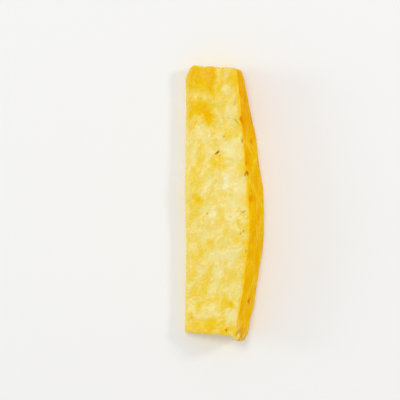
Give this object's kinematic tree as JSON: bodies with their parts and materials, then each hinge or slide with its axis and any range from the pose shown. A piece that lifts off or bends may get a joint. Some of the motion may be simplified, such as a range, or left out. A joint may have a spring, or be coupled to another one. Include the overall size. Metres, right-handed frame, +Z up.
{
  "type": "pineapple spear",
  "caption": "Wedge of fresh pineapple cut lengthwise from a peeled and cored fruit, lying on one cut face, with the peeled side bulging outwards.",
  "frame": {"origin": "middle of the footprint, at the level of the surface the spear lies on", "axes": "+X from the core side to the peeled side, +Y along the fruit from the stem end to the crown end, +Z up from the surface it lies on"},
  "size_m": [0.0358, 0.1232, 0.0247],
  "materials": {
    "flesh": "wet, slightly translucent pale yellow fruit flesh, golden on the peeled side"
  },
  "bodies": {
    "root": {"pineapple_spear": "flesh"}
  },
  "joints": []
}
